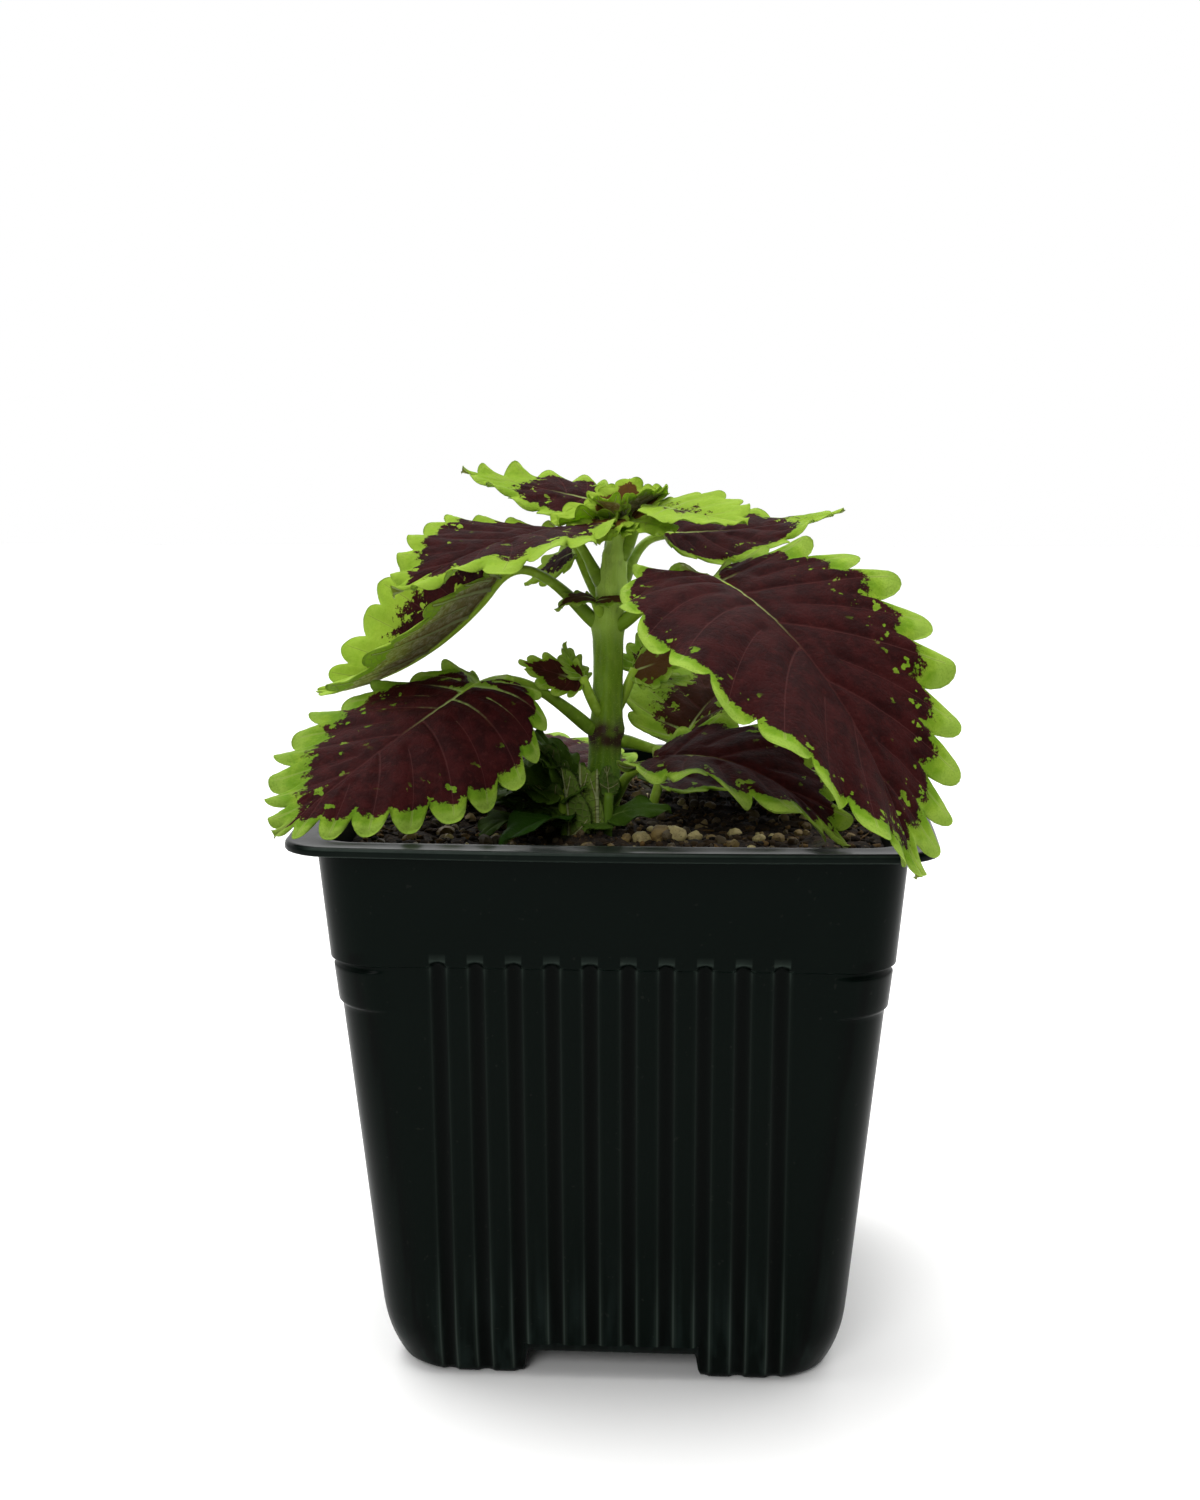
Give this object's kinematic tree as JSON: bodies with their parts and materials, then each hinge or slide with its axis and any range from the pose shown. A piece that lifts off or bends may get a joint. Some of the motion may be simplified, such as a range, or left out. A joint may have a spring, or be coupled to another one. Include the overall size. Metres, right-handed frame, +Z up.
{
  "type": "potted coleus",
  "caption": "Young coleus with toothed maroon leaves edged in lime on an upright stem, growing in a square ribbed nursery pot of potting mix.",
  "frame": {"origin": "bottom centre of the whole object's box, within about 1 mm of the middle of the pot's footprint, on the surface the pot stands on", "axes": "+Z up, -Y the front that faces the camera, +X to the right as seen from the front; the pot's sides are square to X and Y"},
  "size_m": [0.1269, 0.1356, 0.1675],
  "materials": {
    "pot_plastic": "satin moulded black plastic with a faint green cast",
    "potting_mix": "damp dark peat and bark with tan grit",
    "stem": "living green stem, finely haired, satin",
    "leaf": "velvety maroon blade with a lime margin and pale veins",
    "young_leaf": "tender lime leaf with a maroon or brown middle"
  },
  "bodies": {
    "root": {"pot": "pot_plastic", "potting_mix": "potting_mix", "main_stem": "stem", "leaf_low_right": "leaf", "leaf_low_back_left": "leaf", "leaf_second_left": "leaf", "leaf_second_back": "leaf", "leaf_third_right": "leaf", "leaf_third_left": "leaf", "leaf_fourth_left": "leaf", "leaf_fourth_right": "leaf", "leaf_top_left": "leaf", "leaf_top_right": "leaf", "side_shoot_left": "young_leaf", "side_shoot_right": "young_leaf", "axil_shoot_left": "young_leaf", "axil_shoot_back": "young_leaf", "basal_shoot_left": "young_leaf", "basal_shoot_front": "young_leaf", "basal_shoot_back": "young_leaf", "growing_tip": "young_leaf"}
  },
  "joints": []
}
